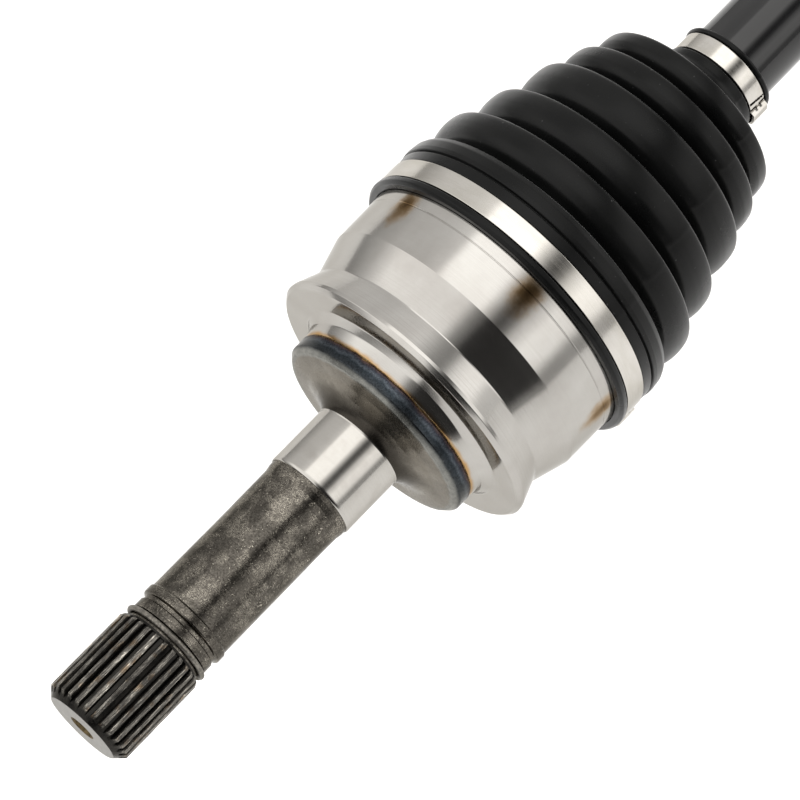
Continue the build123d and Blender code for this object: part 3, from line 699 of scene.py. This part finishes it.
bar_outline = rounded([
    *((-HALF_SPAN - x, r) for x, r in reversed(bar_end)), (-HALF_SPAN - HALF_RACE + 0.05, TOOTH_R),
    (-HALF_SPAN + HALF_RACE - 0.05, TOOTH_R), *((-HALF_SPAN + x, r) for x, r in ring_groove),
    (-HALF_SPAN + NECK_START - 0.1, TOOTH_R), (-HALF_SPAN + NECK_START, NECK_R), (-HALF_SPAN + NECK_END, NECK_R, 6),
    (-HALF_SPAN + TAPER_END, BAR_R, 6), *clamp_seat(*inner_seat), *clamp_seat(*outer_seat),
    (HALF_SPAN - TAPER_END, BAR_R, 6), (HALF_SPAN - NECK_END, NECK_R, 6), (HALF_SPAN - NECK_START, NECK_R, 2),
    (HALF_SPAN - NECK_START + 3, SHOULDER_R, 0.6), (HALF_SPAN - HALF_RACE - 0.1, SHOULDER_R, 0.2),
    (HALF_SPAN - HALF_RACE - 0.05, TOOTH_R), (HALF_SPAN + HALF_RACE - 0.05, TOOTH_R),
    *((HALF_SPAN + x, r) for x, r in bar_end),
])
bar = lathe("bar", dense(bar_outline, 6), [BLACK], 0.0, angles=toothed(BAR_TEETH), shape=bar_shape)
show(bar, "shaft", "bar_paint", "shaft_bar")


# ---------------------------------------------------------------- boots

WALL = 2.3
FOLD_DEPTH = 5.6
SEAMS = (147.5, 327.5)  # degrees around the axle
SEAM_HEIGHT, SEAM_HALF_WIDTH = 0.12, 0.7


def fold(valley, crest, edge):
    """One fold: up a rounded face to its crest, gently down to a narrow edge, then steeply behind it."""
    (low_x, low_r), (x, r) = valley, crest
    face = [(0, 1), (0.1, 0.8), (0.22, 0.5), (0.38, 0.25), (0.6, 0.09), (0.82, 0.02), (1, 0)]
    back = [(0.4, 0.1), (0.7, 0.32), (0.88, 0.65), (1, 1.4)]
    points = [(low_x + (x - low_x) * along, r - (r - low_r) * down) for along, down in face]
    points += [(x + (edge - x) * along, r - drop) for along, drop in back]
    return points + [(edge + 0.35, r - 3.0)]


def boot_outline(start, folds, first_valley_r, finish):
    """A boot's outside: its seat, its folds and its neck.

    Each fold is (crest, its radius, edge), and the first one is the seat's own end.
    """
    points = []
    for number, ((_, _, past), (x, r, edge)) in enumerate(zip(folds, folds[1:])):
        valley = (past + 1.6, r - FOLD_DEPTH if number else first_valley_r)
        points += fold(valley, (x, r), edge)
    outside = np.vstack([rounded(start), flowing(points + finish[:1], 5), rounded(finish[1:])])
    return dense(outside, 1.2)


def boot_piece(name, outline, origin, mirrored, low, high, sleeve):
    """The stretch of a boot between two distances, as a closed shell."""
    keep = outline[(outline[:, 0] >= low - 1e-6) & (outline[:, 0] <= high + 1e-6)]
    inside = keep[::-1].copy()
    inside[:, 1] = np.maximum(inside[:, 1] - WALL, sleeve(inside[:, 0]))
    ring = np.vstack([keep, inside])
    if mirrored:
        ring = ring[::-1] * np.array([-1, 1])
    return lathe(name, ring, [RUBBER], origin, angles=even(288), shape=boot_seam, loop=True, crease=60)


def boot_seam(x, r, angle):
    """A faint mould line along each side of a boot."""
    off = np.minimum(*(np.abs(angle - math.radians(seam)) for seam in SEAMS))
    return x, r + SEAM_HEIGHT * np.exp(-(off * r / SEAM_HALF_WIDTH) ** 2)


def make_boot(side, outline, origin, mirrored, cuts, sleeve):
    """A boot in stretches, from the housing to the bar: a stretch on one body rides on it, and one that spans a
    joint keeps its place, baked into its mesh.
    """
    for number, (low, high, bodies) in enumerate(cuts):
        piece = boot_piece(f"{side}_boot_{number + 1}", outline, origin, mirrored, low, high, sleeve)
        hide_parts(f"{side}_boot")
        if len(bodies) == 1:
            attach(piece, bodies[0])
            continue
        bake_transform(piece)


def cut_into(outline, cuts):
    """The outline with a point exactly at each cut, so that neighbouring stretches meet."""
    for x in sorted({edge for low, high, _ in cuts for edge in (low, high)})[1:-1]:
        after = next(i for i in range(len(outline)) if outline[i, 0] > x and i > 0 and outline[i - 1, 0] <= x)
        a, b = outline[after - 1], outline[after]
        point = a + (b - a) * (x - a[0]) / (b[0] - a[0])
        outline = np.vstack([outline[:after], point, outline[after:]])
    return outline


def over_bar(x, neck, seat):
    """The least inside radius past the housing: under the folds, the neck and the small clamp."""
    return np.where(x < neck, 16.0, np.where(x < seat, 14.1, 12.75))


# (crest, its radius, edge) of each fold, counted from the housing
INNER_FOLDS = [
    (187.5, 50.45, 194.2), (203.3, 48.5, 207.3), (217.6, 44.3, 222.3), (232.8, 40.2, 238.6), (246.0, 36.2, 250.5),
    (256.9, 32.4, 261.2),
]
inner_boot = boot_outline(
    [
        (173.7, 47.75), (173.7, 49.5, 0.7), (174.6, 50.4, 0.7), (176.2, 50.35, 0.4), (176.5, 49.3), (183.7, 49.3),
        (183.8, 49.9, 0.3), (187.15, 50.05, 0.2), (187.4, 49.25, 0.15), (187.8, 49.2, 0.15), (188.05, 50.3, 0.3),
        (189.4, 50.4, 1), (192.2, 50.1, 2), (193.9, 49.3, 0.8), (194.3, 47.6, 0.6),
    ],
    INNER_FOLDS, 44.5,
    [(262.3, 24.0), (262.6, 19.4, 1.2), (263.8, 16.9, 1.2), (268.3, 16.5), (268.5, 16.3), (271.9, 16.1, 0.5),
     (272.3, 14.9), (279.2, 14.9), (279.35, 16.0, 0.3), (280.2, 16.3, 0.5), (281.0, 16.0, 0.4), (281.0, 14.3)],
)
INNER_CUTS = [
    (173.7, 186.3, ("inner_housing",)), (186.3, 204.5, ("inner_housing", "inner_boot")),
    (204.5, 218.5, ("inner_boot", "inner_trailing_ball")), (218.5, 234.8, ("inner_trailing_ball", "inner_cage")),
    (234.8, 249.0, ("inner_cage", "inner_leading_ball")), (249.0, 260.0, ("inner_leading_ball", "shaft")),
    (260.0, 281.0, ("shaft",)),
]


def inner_sleeve(x):
    """The least inside radius of the inner boot: clear of the cup, then of the bar."""
    over_cup = np.interp(x, (175.0, 176.0, 187.6, 192.6, 193.6, 194.0), (47.65, 46.45, 46.65, 43.25, 43.2, 16.0))
    return np.where(x < 194, over_cup, over_bar(x, 269, 272))


make_boot("inner", cut_into(inner_boot, INNER_CUTS), TIP, False, INNER_CUTS, inner_sleeve)

OUTER_FOLDS = [(21.4 + 11.6 * k, 47.6 - 3.9 * k, 24.0 + 11.6 * k) for k in range(6)]
outer_boot = boot_outline(
    [
        (3.0, 44.6), (3.0, 47.6, 0.7), (3.8, 48.3, 0.5), (5.3, 48.3, 0.4), (5.7, 47.3), (13.6, 47.3),
        (13.8, 47.7, 0.3), (15.8, 47.8, 0.3), (16.1, 47.4), (16.4, 47.4), (16.7, 47.75, 0.3), (22.0, 47.5, 1.5),
        (23.8, 46.5, 0.8), (24.1, 44.6, 0.6),
    ],
    OUTER_FOLDS, 40.5,
    [(83.0, 22.0), (83.3, 18.6, 1.2), (84.4, 16.8, 1.2), (86.5, 16.5), (87.6, 16.2, 0.5), (87.9, 14.9),
     (95.0, 14.9), (95.15, 16.0, 0.3), (96.0, 16.3, 0.4), (96.8, 16.0, 0.4), (96.8, 14.3)],
)
OUTER_CUTS = [
    (3.0, 17.0, ("outer_housing",)), (17.0, 26.0, ("outer_housing", "outer_trailing_ball")),
    (26.0, 42.0, ("outer_trailing_ball", "outer_cage")), (42.0, 62.0, ("outer_cage", "outer_leading_ball")),
    (62.0, 80.0, ("outer_leading_ball", "shaft")), (80.0, 96.8, ("shaft",)),
]


def outer_sleeve(x):
    """The least inside radius of the outer boot: clear of the bell, then of the bar."""
    return np.where(x < 18, 44.4, over_bar(x, 86, 88))


make_boot("outer", cut_into(outer_boot, OUTER_CUTS), OUTER, True, OUTER_CUTS, outer_sleeve)


# ---------------------------------------------------------------- clamps

BAND = 0.8
SLOT_DEPTH = 0.7
EAR_HALF, EAR_FLANK = 3.4, 0.9
# Along the band from the ear's middle, and half widths
SLIT_AT, SLIT_HALF, SLIT_SKEW = -6.6, 0.4, 0.9
NOTCH_AT, NOTCH_HALF = -4.6, 0.34
HOOK_AT, HOOK_HALF = -4.0, 0.9
FINE_AT, FINE_HALF = -2.6, 8.5  # the stretch that has more points, for these details


def make_clamp(name, node, inner_r, ear_degrees, ear_rise, body):
    """A rolled band with soft edges, a low crimped ear, a slit at its overlap and two hooked notches."""
    low, high = (corner.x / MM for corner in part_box(node))
    ear = math.radians(ear_degrees)
    outer_r = inner_r + BAND

    def detail(x, r, angle):
        away = ((angle - ear + math.pi) % TURN - math.pi) * inner_r
        share = (x - low) / (high - low) + 0 * angle
        bump = np.clip((EAR_HALF - np.abs(away)) / EAR_FLANK, 0, 1) * (1 - 0.25 * np.abs(away) / EAR_HALF)
        skew = away - SLIT_SKEW * (share - 0.5)
        slit = (np.abs(skew - SLIT_AT) < SLIT_HALF) & (share > 0.05) & (share < 0.95)
        notches = (np.abs(away - NOTCH_AT) < NOTCH_HALF) & ((share < 0.4) | (share > 0.62))
        bars = (np.abs(share - 0.36) < 0.05) | (np.abs(share - 0.66) < 0.05)
        hook = (np.abs(away - HOOK_AT) < HOOK_HALF) & bars
        cut = np.where((slit | notches | hook) & (r > outer_r - 0.05), SLOT_DEPTH, 0)
        return x, r + ear_rise * bump - cut

    outline = dense(rounded([(low, inner_r), (low, outer_r, 0.22), (high, outer_r, 0.22), (high, inner_r)]), 0.32)
    angles = crowded(220, ear + FINE_AT / inner_r, FINE_HALF / inner_r, 110)
    piece = lathe(name, outline, [CLAMP, SLOT], 0.0, angles=angles, shape=detail, loop=True)
    for face in piece.data.polygons:
        radius = math.hypot(face.center.y, face.center.z) / MM
        if inner_r + 0.02 < radius < outer_r - 0.2 and abs(face.normal.x) < 0.9:
            face.material_index = 1
    return show(piece, body, "clamp_steel", node)


for side, seat_r in (("inner", 49.4), ("outer", 47.4)):
    make_clamp(f"{side}_large_clamp", f"{side}_boot_large_clamp", seat_r, 212, 1.2, f"{side}_housing")
    make_clamp(f"{side}_small_clamp", f"{side}_boot_small_clamp", 14.95, 195, 1.5, "shaft")


# ---------------------------------------------------------------- outer housing

WHEEL_SPLINE_START, WHEEL_SPLINE_END = 62.5, 108.05
WHEEL_SPLINE_ROOT, WHEEL_TOOTH, WHEEL_CORE = 12.7, 1.3, 11.5
THREAD_START, THREAD_END = 111.6, 131.95
THREAD_R, THREAD_DEPTH, THREAD_CORE = 12.0, 0.92, 10.4
THREAD_PITCH, THREAD_HALF, THREAD_STEP = 1.5, 0.44, 0.16
CAVITY_MOUTH = math.pi - 1.18  # the bell's round cavity, as the angle from its floor to its mouth


def housing_shape(x, r, angle):
    """The wheel spline's teeth and the thread."""
    cut = WHEEL_SPLINE_ROOT + WHEEL_TOOTH * tooth_height(angle, STUB_TEETH)
    spline = (x > WHEEL_SPLINE_START) & (x < WHEEL_SPLINE_END) & (r > WHEEL_CORE)
    r = np.where(spline, np.minimum(r, cut), r)
    phase = (x / THREAD_PITCH - angle / TURN) % 1
    groove = np.clip(1 - np.abs(phase - 0.5) / THREAD_HALF, 0, 1)
    thread = (x > THREAD_START) & (x < THREAD_END) & (r > THREAD_CORE)
    return x, np.where(thread, np.minimum(r, THREAD_R - THREAD_DEPTH * groove), r)


housing_front = rounded([
    (-13.0, 31.2), (-17.0, 36.0, 0.4), (-17.0, 43.6, 0.6), (-16.4, 44.2, 0.4), (-2.6, 44.2, 0.4), (-0.6, 46.3, 0.6),
    (12.0, 46.5, 6), (24.0, 43.6, 9), (33.0, 36.5, 9), (38.5, 28.5, 4), (42.5, 28.3, 2.0), (44.4, 31.0, 0.6),
    (50.0, 31.0, 0.6), (50.0, 17.6, 0.6), (50.3, 17.0), (57.4, 17.0, 0.4), (58.2, 16.2, 0.3), (61.2, 14.0, 0.6),
    (107.0, 14.0, 0.5), (108.0, 13.2, 0.2), (108.2, 11.0, 0.4), (110.6, 11.0, 0.4), (111.3, 12.0, 0.2),
])
housing_thread = np.array([(x, THREAD_R) for x in np.arange(111.7, 130.6, THREAD_STEP)])
housing_tip = rounded([
    (130.7, 12.0), (132.0, 10.7, 0.2), (132.0, 3.4, 0.15), (127.9, 1.2), (124.0, 0.0),
])
cavity = np.array([
    (BORE_R * math.cos(t), BORE_R * math.sin(t)) for t in np.linspace(0.02, CAVITY_MOUTH, 26)
])
cavity[0, 1] = 0
housing_outline = np.vstack([cavity, dense(housing_front, 3), housing_thread, housing_tip])
outer_bell = lathe(
    "outer_bell", housing_outline, [CUP], OUTER, angles=toothed(STUB_TEETH), shape=housing_shape,
)
show(outer_bell, "outer_housing", "housing_steel", "outer_joint_housing")


# ---------------------------------------------------------------- hidden pieces kept from the CAD

for node, piece in frame["nodes"].items():
    if "ball" in node:
        finish = BALL
    elif "cage" in node or node.endswith("_race"):
        finish = RACE
    elif "ring" in node or "circlip" in node:
        finish = WIRE
    else:
        continue
    piece.data.materials.clear()
    piece.data.materials.append(finish)


# ---------------------------------------------------------------- camera, floor and light

AXLE_SLOPE = math.radians(45.6)
AXLE_LEAN = math.radians(15.7)
AXLE_TURN = math.radians(-25)
CAMERA_DISTANCE = 1.051
AIM = Vector((TIP + 133.8, 0.6, 0.3)) * MM
LENS = 162

scene = bpy.context.scene
along = Vector((
    math.cos(AXLE_LEAN) * math.cos(AXLE_SLOPE), math.cos(AXLE_LEAN) * math.sin(AXLE_SLOPE), -math.sin(AXLE_LEAN)
))
lower_right = Vector((math.sin(AXLE_SLOPE), -math.cos(AXLE_SLOPE), 0))
facing = lower_right.cross(along)
up = math.cos(AXLE_TURN) * facing + math.sin(AXLE_TURN) * lower_right
side_way = up.cross(along)
# The axle's own axes as the camera sees them, turned round to give the camera as the axle sees it
seen = Matrix((along, side_way, up))
camera_data = bpy.data.cameras.new("camera")
camera_data.lens = LENS
camera_data.clip_end = 50
camera = bpy.data.objects.new("camera", camera_data)
scene.collection.objects.link(camera)
camera.matrix_world = seen.to_4x4()
camera.location = AIM + seen @ Vector((0, 0, CAMERA_DISTANCE))
scene.camera = camera

FLOOR_HALF, FLOOR_DROP, FLOOR_GREY = 6.0, 0.45, 0.97
floor_mesh = bpy.data.meshes.new("floor")
floor_mesh.from_pydata(
    [(sx * FLOOR_HALF, sy * FLOOR_HALF, -FLOOR_DROP) for sx, sy in ((-1, -1), (1, -1), (1, 1), (-1, 1))],
    [], [(0, 1, 2, 3)],
)
floor = bpy.data.objects.new("floor", floor_mesh)
scene.collection.objects.link(floor)
floor_paint = Paint("floor_white", roughness=0.9)
floor_paint.colour((FLOOR_GREY, FLOOR_GREY, FLOOR_GREY))
floor_mesh.materials.append(floor_paint.material)

# The studio: strips of light and dark along the axle, which the metal mirrors. Each is (place, brightness), from
# place 0 at +Y over 0.5 overhead to 1 at -Y. "near" lies towards the stub's tip, "far" towards the wheel.
SKY = {
    "near": ((0, 0.4), (0.1, 0.9), (0.2, 1.8), (0.55, 1.6), (0.6, 0.5), (0.66, 0.04), (0.97, 0.04), (1.0, 0.3)),
    "over": (
        (0, 0.55), (0.06, 0.72), (0.14, 0.92), (0.3, 1.0), (0.37, 1.2), (0.4, 2.2), (0.6, 2.15), (0.635, 1.1),
        (0.67, 0.28), (0.7, 0.1), (0.735, 0.3), (0.77, 1.1), (0.83, 1.8), (0.92, 1.6), (0.965, 0.6), (1.0, 0.5),
    ),
    "far": (
        (0, 1.0), (0.2, 0.95), (0.47, 1.3), (0.58, 0.6), (0.64, 0.38), (0.68, 0.5), (0.73, 1.4), (0.79, 1.85),
        (0.88, 1.9), (0.94, 1.1), (1, 1.0),
    ),
}
WARM = (1, 0.985, 0.96)
TO_OVER, TO_FAR = (-0.15, 0.1), (0.45, 0.65)  # how far along the axle a direction points where one ramp takes over
world = bpy.data.worlds.new("studio")
scene.world = world
world.use_nodes = True
sky = Nodes(world.node_tree)
direction = sky.add("TexCoord", {}).outputs["Generated"]
direction_x, direction_y, direction_z = sky.add("SeparateXYZ", {0: direction}).outputs
place = sky.math("DIVIDE", sky.math("ARCTAN2", direction_z, direction_y), math.pi)
strips = {
    name: sky.ramp(place, *((at, tuple(level * tint for tint in WARM)) for at, level in stops))
    for name, stops in SKY.items()
}
to_over, to_far = (
    sky.add("MapRange", {"Value": direction_x, "From Min": low, "From Max": high}).outputs[0]
    for low, high in (TO_OVER, TO_FAR)
)
lit = sky.mix(to_far, sky.mix(to_over, strips["near"], strips["over"]), strips["far"])
seen_directly = sky.add("LightPath", {}).outputs["Is Camera Ray"]
sky.feed(sky.tree.nodes["Background"].inputs["Color"], sky.mix(seen_directly, lit, (1, 1, 1)))

softbox_data = bpy.data.lights.new("softbox", "AREA")
softbox_data.shape = "SQUARE"
softbox_data.size = 3.0
softbox_data.energy = 50
softbox = bpy.data.objects.new("softbox", softbox_data)
softbox.location = (0, 0.4, 3.0)
softbox.visible_glossy = False
scene.collection.objects.link(softbox)

scene.view_settings.view_transform = "Standard"
